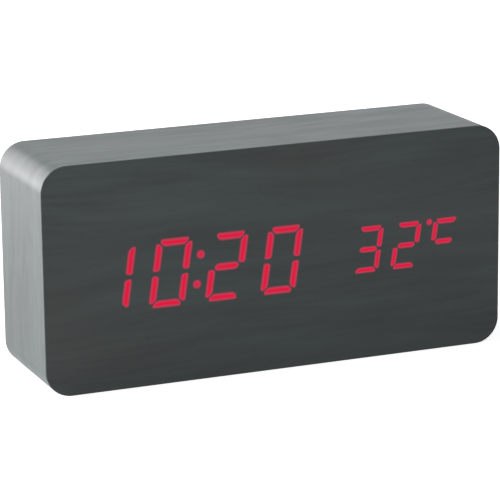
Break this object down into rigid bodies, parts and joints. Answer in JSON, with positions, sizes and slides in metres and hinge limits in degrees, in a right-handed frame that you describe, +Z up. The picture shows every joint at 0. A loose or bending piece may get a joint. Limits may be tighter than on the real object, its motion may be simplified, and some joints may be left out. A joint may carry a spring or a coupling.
{
  "type": "digital alarm clock",
  "caption": "Digital alarm clock: rounded wood-grain block with a red LED time and temperature display, buttons, jack and battery compartment at the back.",
  "frame": {"origin": "middle of the underside, on the surface that the clock stands on", "axes": "+X to the right of the display, +Y from the front to the back, +Z up"},
  "size_m": [0.15, 0.04, 0.07],
  "materials": {
    "charcoal_film": "satin",
    "black_plastic": "matte",
    "button_plastic": "satin",
    "white_plastic": "matte",
    "red_diffuser": "emissive",
    "circuit_board": "satin",
    "chip_epoxy": "matte",
    "plated_steel": "satin",
    "zinc_screw": "satin",
    "spring_steel": "satin",
    "cell_sleeve": "gloss",
    "red_sleeve": "satin",
    "black_sleeve": "satin"
  },
  "bodies": {
    "root": {"aaa_cell_1": "cell_sleeve", "aaa_cell_2": "cell_sleeve", "aaa_cell_3": "cell_sleeve", "aaa_cell_4": "cell_sleeve", "back_panel": "charcoal_film", "backup_coin_cell": "plated_steel", "battery_box": "black_plastic", "battery_lead_black": "black_sleeve", "battery_lead_red": "red_sleeve", "buzzer": "black_plastic", "case": "charcoal_film", "clock_chip": "chip_epoxy", "clock_crystal": "plated_steel", "coin_cell_holder": "black_plastic", "colon_guide": "red_diffuser", "contact_link_1": "spring_steel", "contact_link_2": "spring_steel", "contact_link_3": "spring_steel", "contact_minus": "spring_steel", "contact_plus": "spring_steel", "control_board": "circuit_board", "control_cable": "black_sleeve", "control_plate": "black_plastic", "control_screw_1": "zinc_screw", "control_screw_2": "zinc_screw", "dc_jack": "black_plastic", "dc_jack_pin": "plated_steel", "degrees_ones_guide": "red_diffuser", "degrees_tens_guide": "red_diffuser", "display_board": "circuit_board", "display_mask": "black_plastic", "display_reflector": "white_plastic", "display_screw_1": "zinc_screw", "display_screw_2": "zinc_screw", "display_screw_3": "zinc_screw", "display_screw_4": "zinc_screw", "down_button_switch": "black_plastic", "filter_capacitor": "black_sleeve", "front_film": "charcoal_film", "hour_ones_guide": "red_diffuser", "hour_tens_guide": "red_diffuser", "led_driver_chip": "chip_epoxy", "minute_ones_guide": "red_diffuser", "minute_tens_guide": "red_diffuser", "panel_screw_1": "zinc_screw", "panel_screw_2": "zinc_screw", "panel_screw_3": "zinc_screw", "panel_screw_4": "zinc_screw", "set_button_switch": "black_plastic", "temperature_sensor": "chip_epoxy", "unit_guide": "red_diffuser", "up_button_switch": "black_plastic"},
    "set_button": {"set_button": "button_plastic", "set_button_plunger": "white_plastic"},
    "up_button": {"up_button": "button_plastic", "up_button_plunger": "white_plastic"},
    "down_button": {"down_button": "button_plastic", "down_button_plunger": "white_plastic"},
    "battery_door": {"battery_door": "black_plastic"}
  },
  "joints": [
    {"name": "set_button_press", "type": "slide", "parent": "root", "child": "set_button", "axis": [0, -1, 0], "range_m": [0, 0.0004], "stiffness_N_per_m": 2000, "springref_m": -0.0002},
    {"name": "up_button_press", "type": "slide", "parent": "root", "child": "up_button", "axis": [0, -1, 0], "range_m": [0, 0.0004], "stiffness_N_per_m": 2000, "springref_m": -0.0002},
    {"name": "down_button_press", "type": "slide", "parent": "root", "child": "down_button", "axis": [0, -1, 0], "range_m": [0, 0.0004], "stiffness_N_per_m": 2000, "springref_m": -0.0002},
    {"name": "battery_door_hinge", "type": "hinge", "parent": "root", "child": "battery_door", "pos_m": [-0.053, 0.019, 0.035], "axis": [0, 0, 1], "range_deg": [0, 90]}
  ]
}
